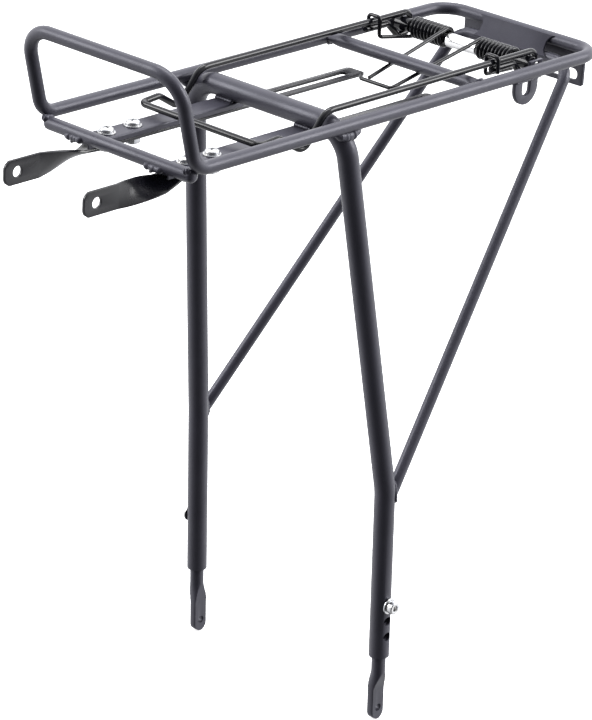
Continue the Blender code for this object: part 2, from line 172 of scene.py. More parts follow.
AXLE_X = -145.0
AXLE_Z = 426.3
AXLE_RADIUS = 2.5
AXLE_HALF = 64.2
AXLE_CHAMFER = 0.6
AXLE_LUG_Y = 62.8
SLEEVE_RADIUS = 4.9
SLEEVE_BORE = 4.1
SLEEVE_DROP = 1.3
SLEEVE_HALF = 13.3
BUSH_RADIUS = 4.9
BUSH_Y = (47.1, 60.1)
COIL_RADIUS = 6.3
COIL_WIRE = 1.4
COIL_TURNS = 9
COIL_Y = (15.0, 44.5)
COIL_START = 78.7
COIL_PART_TURN = 191.3
SPRING_FOOT = {
    1: [(-60.9, -18.0, -10.6), (-58.1, -15.2, -11.3), (-58.1, 11.0, -11.3), (-61.7, 11.4, -10.6)],
    -1: [(-61.9, -11.4, -10.5)],
}
HOOK_X = {1: -108.6, -1: -113.6}
HOOK_Y = (49.6, 60.0)
HOOK_TOP = 437.6
HOOK_BOTTOM = 423.6

BAIL_WIRE = 2.25
BAIL_REAR_Y = 56.0
BAIL_FRONT_Y = 55.4
BAIL_NOSE_Y = 52.9
BAIL_NOSE_X = 111.2
BAIL_REAR_Z = 433.8
BAIL_FRONT_Z = 432.7
BAIL_BEND_X = 55.1
BAIL_DIP = (74.4, RAIL_Z - 14.6)
BAIL_RISE = (94.8, RAIL_Z - 2.6)
BAIL_NOSE_Z = RAIL_Z - 4.1
EYE_REACH = 7.6
HAIRPIN_X = -106.0
HAIRPIN_DROP = 4.8

TUBE_SIDES = 40
WIRE_SIDES = 20
COIL_SIDES = 12
COIL_STEPS = 26
BEND_STEPS = 18
SMOOTH_ANGLE = 40
BEVEL_ANGLE = 42
BEVEL_SEGMENTS = 3
BEAD_STEP = 0.35

COAT = (0.039, 0.038, 0.051)
COAT_TINT = (0.90, 0.90, 1.0, 1.0)
RUBBED_COAT = (0.10, 0.10, 0.11)
GLOSS = (0.006, 0.006, 0.008)
RUBBED_GLOSS = (0.05, 0.05, 0.055)
STRIP_COLOUR = (0.005, 0.005, 0.008)
ZINC_WARM = (0.62, 0.61, 0.59)
ZINC_COOL = (0.58, 0.60, 0.63)
BRIGHT = (0.90, 0.90, 0.90)

FLOOR_HALF = 14.0
FLOOR_GAP = 0.0005
LAMP_TARGET = (0.0, 0.0, 0.25)
LAMPS = (
    ("top_softbox", (-0.4, -0.3, 2.2), 18.0, (1.3, 0.5)),
    ("left_softbox", (1.5, -1.6, 1.5), 30.0, (0.9, 1.2)),
    ("right_softbox", (-1.5, 1.5, 1.4), 32.0, (0.9, 1.2)),
)
CAMERA_PLACE = (1.4811, 1.3159, 1.0631)
CAMERA_RIGHT = (-0.68425, 0.72721, 0.05444)
CAMERA_UP = (-0.25273, -0.3065, 0.9177)
CAMERA_BACK = (0.68405, 0.61418, 0.39351)
CAMERA_LENS = 159.18
CAMERA_SENSOR = 36.0
CAMERA_SHIFT = (0.013289, 0.027073)
CAMERA_REACH = 60.0


# ---------------------------------------------------------------- materials


class Nodes:
    """A short way to add and join shader nodes."""

    def __init__(self, name):
        self.material = bpy.data.materials.new(name)
        self.material.use_nodes = True
        self.tree = self.material.node_tree
        self.shader = self.tree.nodes["Principled BSDF"]
        self.place = self.add("ShaderNodeTexCoord").outputs["Object"]

    def add(self, kind, **settings):
        node = self.tree.nodes.new(kind)
        for key, value in settings.items():
            setattr(node, key, value)
        return node

    def join(self, output, socket):
        self.tree.links.new(output, socket)

    def noise(self, scale, detail=3.0, stretch=(1.0, 1.0, 1.0)):
        """Noise with this many features to the metre, drawn out along an axis where stretch is below 1."""
        mapping = self.add("ShaderNodeMapping")
        mapping.inputs["Scale"].default_value = stretch
        self.join(self.place, mapping.inputs["Vector"])
        made = self.add("ShaderNodeTexNoise")
        made.inputs["Scale"].default_value = scale
        made.inputs["Detail"].default_value = detail
        self.join(mapping.outputs["Vector"], made.inputs["Vector"])
        return made.outputs["Fac"]

    def spread(self, value, source, target):
        made = self.add("ShaderNodeMapRange")
        made.inputs["From Min"].default_value, made.inputs["From Max"].default_value = source
        made.inputs["To Min"].default_value, made.inputs["To Max"].default_value = target
        self.join(value, made.inputs["Value"])
        return made.outputs["Result"]

    def blend(self, share, first, second):
        """A mix of two colours, where the first may be another node's output."""
        made = self.add("ShaderNodeMix", data_type="RGBA")
        self.join(share, made.inputs["Factor"])
        if isinstance(first, tuple):
            made.inputs["A"].default_value = (*first, 1.0)
        else:
            self.join(first, made.inputs["A"])
        made.inputs["B"].default_value = (*second, 1.0)
        return made.outputs["Result"]

    def patches(self, scale, detail, source, target):
        """Soft patches: noise spread from the first range onto the second."""
        return self.spread(self.noise(scale, detail), source, target)

    def times(self, first, second):
        made = self.add("ShaderNodeMath", operation="MULTIPLY")
        self.join(first, made.inputs[0])
        self.join(second, made.inputs[1])
        return made.outputs["Value"]

    def edges(self, low, high):
        """1 on outer edges and 0 elsewhere."""
        pointiness = self.add("ShaderNodeNewGeometry").outputs["Pointiness"]
        return self.spread(pointiness, (low, high), (0.0, 1.0))

    def rubbed(self, colour, edge, scale, most, bare):
        """The colour, worn towards the bare one in patches on outer edges."""
        worn = self.times(self.edges(*edge), self.patches(scale, 3.0, (0.5, 0.72), (0.0, most)))
        return self.blend(worn, colour, bare)

    def bump(self, height, distance, strength, under=None):
        made = self.add("ShaderNodeBump")
        made.inputs["Distance"].default_value = distance
        made.inputs["Strength"].default_value = strength
        self.join(height, made.inputs["Height"])
        if under:
            self.join(under, made.inputs["Normal"])
        return made.outputs["Normal"]

    def put(self, socket, value):
        self.shader.inputs[socket].default_value = value

    def drive(self, socket, output):
        self.join(output, self.shader.inputs[socket])


def tinted(colour, factor):
    return tuple(min(1.0, part * factor) for part in colour)


def powder_coat(name, specular=0.5):
    """Satin charcoal powder coat: fine grain over a soft orange peel, a little rubbed on its edges."""
    nodes = Nodes(name)
    mottle = nodes.patches(45.0, 4.0, (0.3, 0.7), (0.0, 1.0))
    colour = nodes.blend(mottle, tinted(COAT, 0.9), tinted(COAT, 1.12))
    speck = nodes.patches(2600.0, 1.0, (0.62, 0.75), (0.0, 0.35))
    colour = nodes.blend(speck, colour, tinted(COAT, 1.9))
    nodes.drive("Base Color", nodes.rubbed(colour, (0.56, 0.68), 180.0, 0.15, RUBBED_COAT))
    nodes.drive("Roughness", nodes.patches(30.0, 3.0, (0.3, 0.7), (0.34, 0.44)))
    peel = nodes.bump(nodes.noise(420.0, 2.0), 0.0004, 0.16)
    nodes.drive("Normal", nodes.bump(nodes.noise(2400.0, 1.0), 0.0002, 0.12, peel))
    # A lower specular level gives the darker copy of this coat that paints in the tail web's dark
    # reflection.
    nodes.put("Specular IOR Level", specular)
    nodes.put("Specular Tint", COAT_TINT)
    return nodes.material


def gloss_black(name):
    """Dipped gloss black enamel on spring wire: slight runs, a few dull scuffs."""
    nodes = Nodes(name)
    mottle = nodes.patches(70.0, 3.0, (0.35, 0.7), (0.0, 1.0))
    colour = nodes.blend(mottle, GLOSS, tinted(GLOSS, 1.7))
    nodes.drive("Base Color", nodes.rubbed(colour, (0.55, 0.66), 260.0, 0.06, RUBBED_GLOSS))
    nodes.drive("Roughness", nodes.patches(90.0, 4.0, (0.3, 0.75), (0.06, 0.13)))
    nodes.drive("Normal", nodes.bump(nodes.noise(320.0, 2.0), 0.0003, 0.12))
    nodes.put("Specular IOR Level", 0.2)
    nodes.put("Coat Weight", 0.2)
    nodes.put("Coat Roughness", 0.07)
    return nodes.material


def strip_black(name):
    """Semi-gloss black on the flat stays, with rolling lines along them."""
    nodes = Nodes(name)
    mottle = nodes.patches(40.0, 4.0, (0.3, 0.7), (0.0, 1.0))
    colour = nodes.blend(mottle, STRIP_COLOUR, tinted(STRIP_COLOUR, 1.5))
    nodes.drive("Base Color", nodes.rubbed(colour, (0.54, 0.66), 210.0, 0.12, RUBBED_GLOSS))
    nodes.drive("Roughness", nodes.patches(60.0, 4.0, (0.3, 0.7), (0.24, 0.34)))
    lines = nodes.bump(nodes.noise(900.0, 2.0, (0.03, 1.0, 1.0)), 0.0002, 0.07)
    nodes.drive("Normal", nodes.bump(nodes.noise(360.0, 2.0), 0.0003, 0.1, lines))
    return nodes.material


def zinc(name):
    """Bright zinc plate: faint bluish and yellowish clouds, fine tool marks."""
    nodes = Nodes(name)
    cloud = nodes.patches(260.0, 3.0, (0.3, 0.7), (0.0, 1.0))
    nodes.drive("Base Color", nodes.blend(cloud, ZINC_WARM, ZINC_COOL))
    nodes.drive("Roughness", nodes.patches(700.0, 3.0, (0.3, 0.7), (0.2, 0.38)))
    nodes.drive("Normal", nodes.bump(nodes.noise(1500.0, 3.0), 0.0002, 0.18))
    nodes.put("Metallic", 1.0)
    return nodes.material


def bright_tube(name):
    """Bright plated sleeve with fine polishing lines round it."""
    nodes = Nodes(name)
    cloud = nodes.patches(120.0, 3.0, (0.3, 0.7), (0.0, 1.0))
    nodes.drive("Base Color", nodes.blend(cloud, BRIGHT, tinted(BRIGHT, 0.93)))
    lines = nodes.noise(1800.0, 2.0, (0.02, 1.0, 0.02))
    nodes.drive("Roughness", nodes.spread(lines, (0.3, 0.7), (0.22, 0.34)))
    nodes.drive("Normal", nodes.bump(lines, 0.0001, 0.1))
    nodes.put("Metallic", 1.0)
    return nodes.material


FINISHES = {
    "coat": powder_coat("charcoal_powder_coat"),
    # The same charcoal coat with weaker reflection: a darker copy that paints in the dark reflection the
    # tail web shows at its tilt.
    "plate": powder_coat("coat_painted_dark_reflection", 0.15),
    "gloss": gloss_black("gloss_black_enamel"),
    "strip": strip_black("semi_gloss_black"),
    "zinc": zinc("bright_zinc"),
    "bright": bright_tube("bright_plated_sleeve"),
}


# ---------------------------------------------------------------- mesh tools


def link_mesh(name, builder):
    bmesh.ops.recalc_face_normals(builder, faces=builder.faces)
    bmesh.ops.transform(builder, matrix=Matrix.Scale(MM, 4), verts=builder.verts)
    mesh = bpy.data.meshes.new(name)
    builder.to_mesh(mesh)
    builder.free()
    obj = bpy.data.objects.new(name, mesh)
    bpy.context.scene.collection.objects.link(obj)
    return obj


def make(name, builder, finish, cutters=(), bevel=0.0):
    """A finished mesh object: cut, bevelled, smoothed and painted."""
    obj = link_mesh(name, builder)
    tools = [link_mesh("cutter", cutter) for cutter in cutters]
    for tool in tools:
        modifier = obj.modifiers.new("cut", "BOOLEAN")
        modifier.operation = "DIFFERENCE"
        modifier.solver = "EXACT"
        modifier.object = tool
    if bevel:
        modifier = obj.modifiers.new("bevel", "BEVEL")
        modifier.width = bevel * MM
        modifier.segments = BEVEL_SEGMENTS
        modifier.limit_method = "ANGLE"
        modifier.angle_limit = math.radians(BEVEL_ANGLE)
    graph = bpy.context.evaluated_depsgraph_get()
    mesh = bpy.data.meshes.new_from_object(obj.evaluated_get(graph))
    obj.modifiers.clear()
    obj.data = mesh
    mesh.name = name
    for tool in tools:
        bpy.data.objects.remove(tool)
    for face in mesh.polygons:
        face.use_smooth = True
    mesh.set_sharp_from_angle(angle=math.radians(SMOOTH_ANGLE))
    mesh.materials.clear()
    mesh.materials.append(FINISHES[finish])
    return obj


def mount(obj, body, node=None):
    """Lets the piece ride on a body, and stand for the CAD node of that name."""
    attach(obj, body)
    if node:
        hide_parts(node)
    return obj


def rounded_path(points, radii, steps=BEND_STEPS):
    """The polyline through the points, with each inner corner replaced by an arc of the radius given."""
    corners = [Vector(point) for point in points]
    path = [corners[0]]
    for before, corner, after, radius in zip(corners, corners[1:], corners[2:], radii):
        back = (before - corner).normalized()
        ahead = (after - corner).normalized()
        half_angle = back.angle(ahead) / 2
        centre = corner + (back + ahead).normalized() * (radius / math.sin(half_angle))
        start = corner + back * (radius / math.tan(half_angle)) - centre
        end = corner + ahead * (radius / math.tan(half_angle)) - centre
        sweep = start.angle(end)
        for step in range(steps + 1):
            share = step / steps
            arm = start * math.sin((1 - share) * sweep) + end * math.sin(share * sweep)
            path.append(centre + arm / math.sin(sweep))
    path.append(corners[-1])
    return path


def mirrored(path):
    """The path, then its mirror image in the plane Y = 0, in one run."""
    return list(path) + [Vector((point.x, -point.y, point.z)) for point in reversed(path)]


def path_frames(path):
    """A pair of unit vectors across the path at each of its points, carried along without twist."""
    ways = []
    for index in range(len(path)):
        incoming = (path[index] - path[max(index - 1, 0)]).normalized()
        outgoing = (path[min(index + 1, len(path) - 1)] - path[index]).normalized()
        ways.append((incoming + outgoing).normalized())
    across = ways[0].orthogonal().normalized()
    frames = []
    for way in ways:
        across = (across - way * across.dot(way)).normalized()
        frames.append((across, way.cross(across)))
    return frames


def ring(builder, centre, side, up, outline):
    return [builder.verts.new(centre + side * point[0] + up * point[1]) for point in outline]


def skin(builder, rings):
    for first, second in zip(rings, rings[1:]):
        for index in range(len(first)):
            after = (index + 1) % len(first)
            builder.faces.new((first[index], first[after], second[after], second[index]))


def circle(radius, sides):
    turns = [2 * math.pi * index / sides for index in range(sides)]
    return [(radius * math.cos(turn), radius * math.sin(turn)) for turn in turns]


def swept(path, radius, sides, closed=False, bore=0.0):
    """A round bar or tube along the path, joined to its own start if it is closed."""
    builder = bmesh.new()
    frames = path_frames(path)
    outer = [ring(builder, p, *f, circle(radius, sides)) for p, f in zip(path, frames)]
    if closed:
        skin(builder, outer + [outer[0]])
        return builder
    skin(builder, outer)
    if not bore:
        builder.faces.new(outer[0])
        builder.faces.new(outer[-1])
        return builder
    inner = [ring(builder, p, *f, circle(bore, sides)) for p, f in zip(path, frames)]
    skin(builder, inner)
    skin(builder, [outer[0], inner[0]])
    skin(builder, [outer[-1], inner[-1]])
    return builder


def turned(profile, origin, axis, sides=TUBE_SIDES, bored=False):
    """A solid of revolution from a run of (distance along the axis, radius), closed on itself if bored."""
    builder = bmesh.new()
    along = Vector(axis).normalized()
    side = along.orthogonal().normalized()
    up = along.cross(side)
    rings = [
        ring(builder, Vector(origin) + along * distance, side, up, circle(radius, sides))
        for distance, radius in profile
    ]
    if bored:
        skin(builder, rings + [rings[0]])
        return builder
    skin(builder, rings)
    builder.faces.new(rings[0])
    builder.faces.new(rings[-1])
    return builder


def collar(low, high, inner, outer, edge, centre, axis):
    """A ring from low to high along the axis, with its outer corners cut back by edge."""
    profile = [
        (low, inner),
        (high, inner),
        (high, outer - edge),
        (high - edge, outer),
        (low + edge, outer),
        (low, outer - edge),
    ]
    return turned(profile, centre, axis, bored=True)


def plate(loops, thickness, centre, across, up):
    """A flat plate from an outline and its windows, drawn in the plane of the vectors across and up."""
    builder = bmesh.new()
    across, up = Vector(across), Vector(up)
    normal = across.cross(up).normalized()
    base = Vector(centre) - normal * (thickness / 2)
    edges = []
    for loop in loops:
        corners = ring(builder, base, across, up, loop)
        edges += [builder.edges.new((a, b)) for a, b in zip(corners, corners[1:] + corners[:1])]
    bmesh.ops.triangle_fill(builder, use_beauty=True, edges=edges)
    if len(loops) == 1:
        bmesh.ops.dissolve_limit(builder, angle_limit=0.01, verts=builder.verts, edges=builder.edges)
    made = bmesh.ops.extrude_face_region(builder, geom=builder.faces[:])
    moved = [item for item in made["geom"] if isinstance(item, bmesh.types.BMVert)]
    bmesh.ops.translate(builder, vec=normal * thickness, verts=moved)
    return builder


def corner_arc(centre, radius, start, end, steps):
    turns = np.radians(np.linspace(start, end, steps + 1))
    return [(centre[0] + radius * math.cos(turn), centre[1] + radius * math.sin(turn)) for turn in turns]


def rail_y(x):
    """How far out the rail's middle line is at this X: the rails spread a little towards the rear."""
    share = (HOOP_FOOT_X - x) / (HOOP_FOOT_X - REAR_X)
    return RAIL_Y + share * (RAIL_REAR_Y - RAIL_Y)


def leg_axis(height):
    """The point of the left lower leg's axis at this height above the eyelets."""
    return Vector((LEG_TILT * height, LEG_Y, height))


def flip(point, side):
    return Vector((point[0], side * point[1], point[2]))


# ---------------------------------------------------------------- weld beads


def junction(start, along, radius, host, host_along, host_radius, steps=96):
    """The closed line on which the side of a tube running along from start first meets a host tube."""
    along, host_along = along.normalized(), host_along.normalized()
    side = along.orthogonal().normalized()
    up = along.cross(side)
    points = []
    for index in range(steps):
        turn = 2 * math.pi * index / steps
        point = start + side * radius * math.cos(turn) + up * radius * math.sin(turn)
        gap = point - host
        gap -= host_along * gap.dot(host_along)
        way = along - host_along * along.dot(host_along)
        square, half, rest = way.dot(way), gap.dot(way), gap.dot(gap) - host_radius**2
        root = math.sqrt(max(half * half - square * rest, 0.0))
        points.append(point + along * ((-half - root) / square))
    return points


def ripple(place, radius, pitch, distance):
    """The bead's radius at this place: overlapping scallops, a little uneven."""
    scallop = abs(math.sin(math.pi * distance / pitch))
    return radius * (0.9 + 0.16 * scallop + 0.14 * noise.noise(place * 0.6))


def ring_bead(builder, line, radius, pitch=1.7, sides=10):
    """A weld bead round a closed line."""
    centre = sum(line, Vector()) / len(line)
    rings = []
    distance = 0.0
    for index, point in enumerate(line):
        ahead = line[(index + 1) % len(line)]
        way = (ahead - line[index - 1]).normalized()
        out = point - centre
        out = (out - way * out.dot(way)).normalized()
        size = ripple(point, radius, pitch, distance)
        rings.append(ring(builder, point, out, way.cross(out), circle(size, sides)))
        distance += (ahead - point).length
    skin(builder, rings + [rings[0]])


def straight_bead(builder, start, end, radius, pitch=1.7, sides=10):
    """A weld bead from start to end, with rounded ends."""
    start, end = Vector(start), Vector(end)
    length = (end - start).length
    way = (end - start).normalized()
    side = way.orthogonal().normalized()
    up = way.cross(side)
    count = max(int(length / BEAD_STEP), 8)
    rings = []
    for index in range(count + 1):
        share = index / count
        point = start + way * length * share
        edge = min(share, 1 - share) * length / radius
        fade = math.sqrt(max(1 - (1 - min(edge, 1.0)) ** 2, 0.03))
        size = ripple(point, radius, pitch, share * length) * fade
        rings.append(ring(builder, point, side, up, circle(size, sides)))
    skin(builder, rings)
    builder.faces.new(rings[0])
    builder.faces.new(rings[-1])


def weld_rail(builder, side):
    """The bead round the second cross tube's end, and the two that fill the corners at the hoop's foot."""
    rail_at = Vector((HOOP_FOOT_X, side * RAIL_Y, RAIL_Z))
    rail_way = Vector((REAR_X - HOOP_FOOT_X, side * (RAIL_REAR_Y - RAIL_Y), 0.0))
    start = Vector((SECOND_CROSS_X, side * 40.0, RAIL_Z))
    line = junction(start, Vector((0.0, side, 0.0)), RAIL_RADIUS - 0.2, rail_at, rail_way, RAIL_RADIUS)
    ring_bead(builder, line, 1.3)
    for start, end, radius, pitch in (
        ((1.6, 59.8, -2.4), (1.6, 64.6, -0.8), 2.6, 2.9),
        ((3.4, 63.4, -1.2), (-6.2, 63.6, -2.4), 1.9, 3.1),
    ):
        ends = [(HOOP_FOOT_X + ahead, side * y, RAIL_Z + rise) for ahead, y, rise in (start, end)]
        straight_bead(builder, *ends, radius, pitch)


def weld_brace(builder, side):
    """The bead where a brace meets its leg."""
    foot, corner = flip(BRACE_FOOT, side), flip(BRACE_CORNER, side)
    leg_high = flip(leg_axis(KINK_Z), side)
    leg_low = flip(leg_axis(KINK_Z - 47.0), side)
    start = corner + (foot - corner) * 0.7
    line = junction(start, foot - corner, BRACE_RADIUS, leg_low, leg_high - leg_low, LEG_RADIUS)
    ring_bead(builder, line, 1.5, 1.9)


def weld_axle_lug(builder, side):
    y, z = side * (AXLE_LUG_Y + 1.0), RAIL_Z - 1.0
    straight_bead(builder, (AXLE_X - 6.0, y, z), (AXLE_X + 6.5, y, z), 1.1)


def weld_channel(builder, side):
    """The beads across a channel, ahead of and behind the two cross bars that it hangs from."""
    for x, rise, half, radius, pitch in (
        (FRONT_CROSS_X + 3.5, 2.6, 8.0, 2.4, 5.3),
        (FRONT_CROSS_X - 3.0, 0.9, 8.0, 1.4, 2.6),
        (MAIN_CROSS_X + 4.6, 0.8, 7.8, 1.3, 2.2),
        (MAIN_CROSS_X - 4.6, 0.8, 7.8, 1.3, 2.2),
    ):
        low, high = side * (CHANNEL_Y - half), side * (CHANNEL_Y + half)
        z = CHANNEL_TOP_Z + rise
        straight_bead(builder, (x, low, z), (x, high, z), radius, pitch)


def weld_bracket(builder, side):
    low, high = sorted((side * 36.0, side * 53.0))
    x, z = BRACKET_X + 0.8, RAIL_Z - 3.5
    straight_bead(builder, (x, low, z), (x, high, z), 1.0)


def weld_pannier_lug(builder):
    """The bead on each face of the lug, under the left rail."""
    z = RAIL_Z - 4.2
    for y in (rail_y(LUG_X) - 1.7, rail_y(LUG_X) + 1.7):
        straight_bead(builder, (LUG_X - 11.5, y, z), (LUG_X + 11.5, y, z), 0.9)


def build_welds():
    """Every bead that joins the frame's tubes and plates."""
    builder = bmesh.new()
    for side in (1, -1):
        weld_rail(builder, side)
        weld_brace(builder, side)
        weld_axle_lug(builder, side)
        weld_channel(builder, side)
        weld_bracket(builder, side)
    weld_pannier_lug(builder)
    mount(make("weld_beads", builder, "coat"), "frame")


# ---------------------------------------------------------------- tubes


def build_side_loop():
    """Both rails, the rear bar and the upright hoop, as one closed loop."""
    half = [
        (REAR_X, 0.15, RAIL_Z),
        (REAR_X, RAIL_REAR_Y, RAIL_Z),
        (HOOP_FOOT_X, RAIL_Y, RAIL_Z),
        HOOP_TOP,
        (HOOP_TOP[0], 0.0, HOOP_TOP[2]),
    ]
    path = mirrored(rounded_path(half, (REAR_CORNER, HOOP_FOOT_BEND, HOOP_TOP_BEND))[:-1])
    tube = make("outer_loop", swept(path, RAIL_RADIUS, TUBE_SIDES, closed=True), "coat")
    mount(tube, "frame", "side_loop_tube")


def build_front_cross():
    """The tube under the hoop's feet: its ends are closed round by the weld."""
    dome = [(0.0, 0.8), (0.3, 2.2), (1.1, 3.5), (2.2, 4.2), (3.6, RAIL_RADIUS)]
    right_end, left_end = FRONT_CROSS_ENDS
    profile = [(right_end + inset, radius) for inset, radius in dome]
    profile += [(left_end - inset, radius) for inset, radius in reversed(dome)]
    tube = turned(profile, (FRONT_CROSS_X, 0.0, FRONT_CROSS_Z), (0, 1, 0))
    mount(make("front_cross", tube, "coat"), "frame", "front_cross_tube")


def build_second_cross():
    """The cross tube ahead of the springs: its ends are pressed a little flat on the rails."""
    builder = bmesh.new()
    end = rail_y(SECOND_CROSS_X) - 1.0
    stations = [(-end, 1.0), (-end + 4.0, 1.0), (-end + 6.0, 0.75), (-end + 9.0, 0.2), (-end + 11.5, 0.0)]
    stations += [(-y, press) for y, press in reversed(stations)]
    rings = []
    for y, press in stations:
        wide, tall = RAIL_RADIUS + 1.5 * press, RAIL_RADIUS - 1.2 * press
        outline = [(wide * a, tall * b) for a, b in circle(1.0, TUBE_SIDES)]
        centre = Vector((SECOND_CROSS_X, y, RAIL_Z + 0.3 * press))
        rings.append(ring(builder, centre, Vector((1, 0, 0)), Vector((0, 0, 1)), outline))
    skin(builder, rings)
    builder.faces.new(rings[0])
    builder.faces.new(rings[-1])
    mount(make("second_cross", builder, "coat"), "frame", "second_cross_tube")


def build_leg_hoop():
    """Both legs and the cross bar between their tops, as one bent tube with three holes near each end."""
    half = [
        leg_axis(LEG_END_Z),
        leg_axis(KINK_Z),
        Vector((MAIN_CROSS_X, LEG_TOP_Y, MAIN_CROSS_Z)),
        Vector((MAIN_CROSS_X, 0.0, MAIN_CROSS_Z)),
    ]
    path = mirrored(rounded_path(half, (LEG_KINK_BEND, LEG_TOP_BEND))[:-1])
    drills = []
    for side in (1, -1):
        for height in HOLE_HEIGHTS:
            profile = [(2.0, LEG_HOLE), (LEG_RADIUS + 3.0, LEG_HOLE)]
            drills.append(turned(profile, flip(leg_axis(height), side), (0, side, 0), 28))
    tube = swept(path, LEG_RADIUS, TUBE_SIDES, bore=LEG_BORE)
    mount(make("leg_hoop", tube, "coat", drills, 0.45), "frame", "leg_hoop_tube")


def saddle(builder, side, across, height, reach, thick, steps=60):
    """A weld that bows out from the rail: at its middle it is this far across, this high and this thick."""
    rings = []
    for index in range(steps + 1):
        turn = math.radians(-88 + 176 * index / steps)
        fill = math.cos(turn)
        x = MAIN_CROSS_X - 1.2 + reach * math.sin(turn)
        y = side * (rail_y(x) + across * fill)
        centre = Vector((x, y, RAIL_Z - 3.0 + (height + 3.0) * fill))
        size = ripple(centre, 0.9 + thick * fill, 4.1, x)
        rings.append(ring(builder, centre, Vector((0, 1, 0)), Vector((0, 0, 1)), circle(size, 20)))
    skin(builder, rings)
    builder.faces.new(rings[0])
    builder.faces.new(rings[-1])


def build_leg_saddles():
    """Thick weld between each leg's top bend and the rail: one below the rail, one on its inner side."""
    builder = bmesh.new()
    for side in (1, -1):
        saddle(builder, side, across=0.7, height=-6.4, reach=11.5, thick=2.6)
        saddle(builder, side, across=-4.6, height=-0.4, reach=10.0, thick=1.2)
    mount(make("leg_saddles", builder, "coat"), "frame")


def build_brace_hoop():
    """Both braces and the bar that joins them under the tail, as one bent bar."""
    corner = Vector(BRACE_CORNER)
    half = [Vector(BRACE_FOOT), corner, Vector((corner.x, 0.0, corner.z))]
    path = mirrored(rounded_path(half, (BRACE_BEND,))[:-1])
    mount(make("brace_hoop", swept(path, BRACE_RADIUS, TUBE_SIDES), "coat"), "frame", "brace_hoop_tube")


# ---------------------------------------------------------------- plates


def build_tail_plate():
    """The web between the rear bar and the braces' cross bar, with hollowed ends and rolled-in edges."""
    low, high = Vector(TAIL_LOW), Vector(TAIL_HIGH)
    up = (high - low).normalized()
    reach = (high - low).length / 2 + TAIL_TUCK
    outline = []
    for side in (1, -1):
        for index in range(21):
            share = (index / 10 - 1) * side
            outline.append((side * (TAIL_HALF + TAIL_FLARE * abs(share) ** 3), share * reach))
    middle = (low + high) / 2 - Vector((0, 1, 0)).cross(up) * TAIL_SET_BACK
    web = plate([outline], TAIL_THICK, middle, (0, 1, 0), up)
    # The web wears the frame's coat with weaker reflection: painted dark reflection, not a different paint.
    mount(make("tail_web", web, "plate", bevel=0.5), "frame", "tail_plate")


def build_reflector_bracket():
    """The flat bracket under the rear bar, with a round-ended window on each side."""
    outline = corner_arc(BRACKET_SHOULDER, 4.0, 90, 180, 8) + corner_arc(BRACKET_CORNER, 2.0, 0, -90, 6)
    outline += [(-across, height) for across, height in reversed(outline)]
    near, far = BRACKET_WINDOW
    windows = []
    for side in (1, -1):
        window = corner_arc((far, BRACKET_WINDOW_DROP), BRACKET_WINDOW_HALF, 90, -90, 12)
        window += corner_arc((near, BRACKET_WINDOW_DROP), BRACKET_WINDOW_HALF, -90, -270, 12)
        windows.append([(side * across, height) for across, height in window])
    flat = plate([outline] + windows, BRACKET_THICK, (BRACKET_X, 0.0, RAIL_Z), (0, 1, 0), (0, 0, 1))
    mount(make("light_bracket", flat, "coat", bevel=0.35), "frame", "reflector_bracket")


def build_pannier_lug():
    """The rounded lug under the left rail, with a slot that is closed above by the rail."""
    top = -RAIL_RADIUS + 0.6
    outline = [(LUG_HALF, top)]
    outline += corner_arc((0.0, LUG_HALF - LUG_DROP), LUG_HALF, 0, -180, 28)
    outline += [(-LUG_HALF, top), (-LUG_SLOT_HALF, top)]
    outline += corner_arc((0.0, -LUG_SLOT_DROP), LUG_SLOT_HALF, 180, 360, 14)
    outline += [(LUG_SLOT_HALF, top)]
    centre = (LUG_X, rail_y(LUG_X), RAIL_Z)
    flat = plate([outline], LUG_THICK, centre, (1, 0, 0), (0, 0, 1))
    mount(make("lug_ring", flat, "coat", bevel=0.5), "frame", "pannier_lug")


def build_channel(word, side):
    """A shallow steel channel, open side down, with folded edges."""
    half = CHANNEL_WIDTH / 2
    inner = half - CHANNEL_WALL
    arc = corner_arc((half - CHANNEL_BEND, -CHANNEL_BEND), CHANNEL_BEND, 0, 90, 5)
    right = [(half, -CHANNEL_HEIGHT)] + arc
    under = [(inner, -CHANNEL_WALL - 0.3), (inner, -CHANNEL_HEIGHT)]
    profile = right + [(-a, b) for a, b in reversed(right)] + [(-a, b) for a, b in reversed(under)] + under
    length = CHANNEL_X[1] - CHANNEL_X[0]
    centre = (sum(CHANNEL_X) / 2, side * CHANNEL_Y, CHANNEL_TOP_Z)
    bar = plate([profile], length, centre, (0, 1, 0), (0, 0, 1))
    mount(make("channel_" + word, bar, "coat", bevel=0.25), "frame", "stay_channel_" + word)


def build_axle_lug(word, side):
    """The plate on the rail's inner side that holds an end of the axle."""
    outline = [(6.5, 3.7), (7.2, 0.0), (2.3, -8.7), (-0.7, -9.3), (-6.3, -9.3), (-6.3, 3.7)]
    centre = (AXLE_X, side * AXLE_LUG_Y, AXLE_Z)
    flat = plate([outline, circle(AXLE_RADIUS + 0.2, 28)], 2.2, centre, (1, 0, 0), (0, 0, 1))
    mount(make("lug_" + word, flat, "coat", bevel=0.3), "frame", "axle_lug_" + word)


def share_along(x, span):
    """How far along the span x is, from 0 to 1."""
    return min(max((x - span[0]) / (span[1] - span[0]), 0.0), 1.0)


def eased(share):
    return share * share * (3 - 2 * share)


def strip_stations():
    """(x, half width) along a stay strip, from its rear end to the tip of its tab."""
    half = STRIP_WIDTH / 2
    stations = [(STRIP_X[0], half - 2.2), (STRIP_X[0] + 2.2, half)]
    stations += [(x, half) for x in np.linspace(DROP_X[0], TWIST_X[1], 55)]
    stations += [(STRIP_X[1] - 4.0, half), (STRIP_X[1] - 1.2, half - 2.0), (STRIP_X[1], half - 4.6)]
    return stations


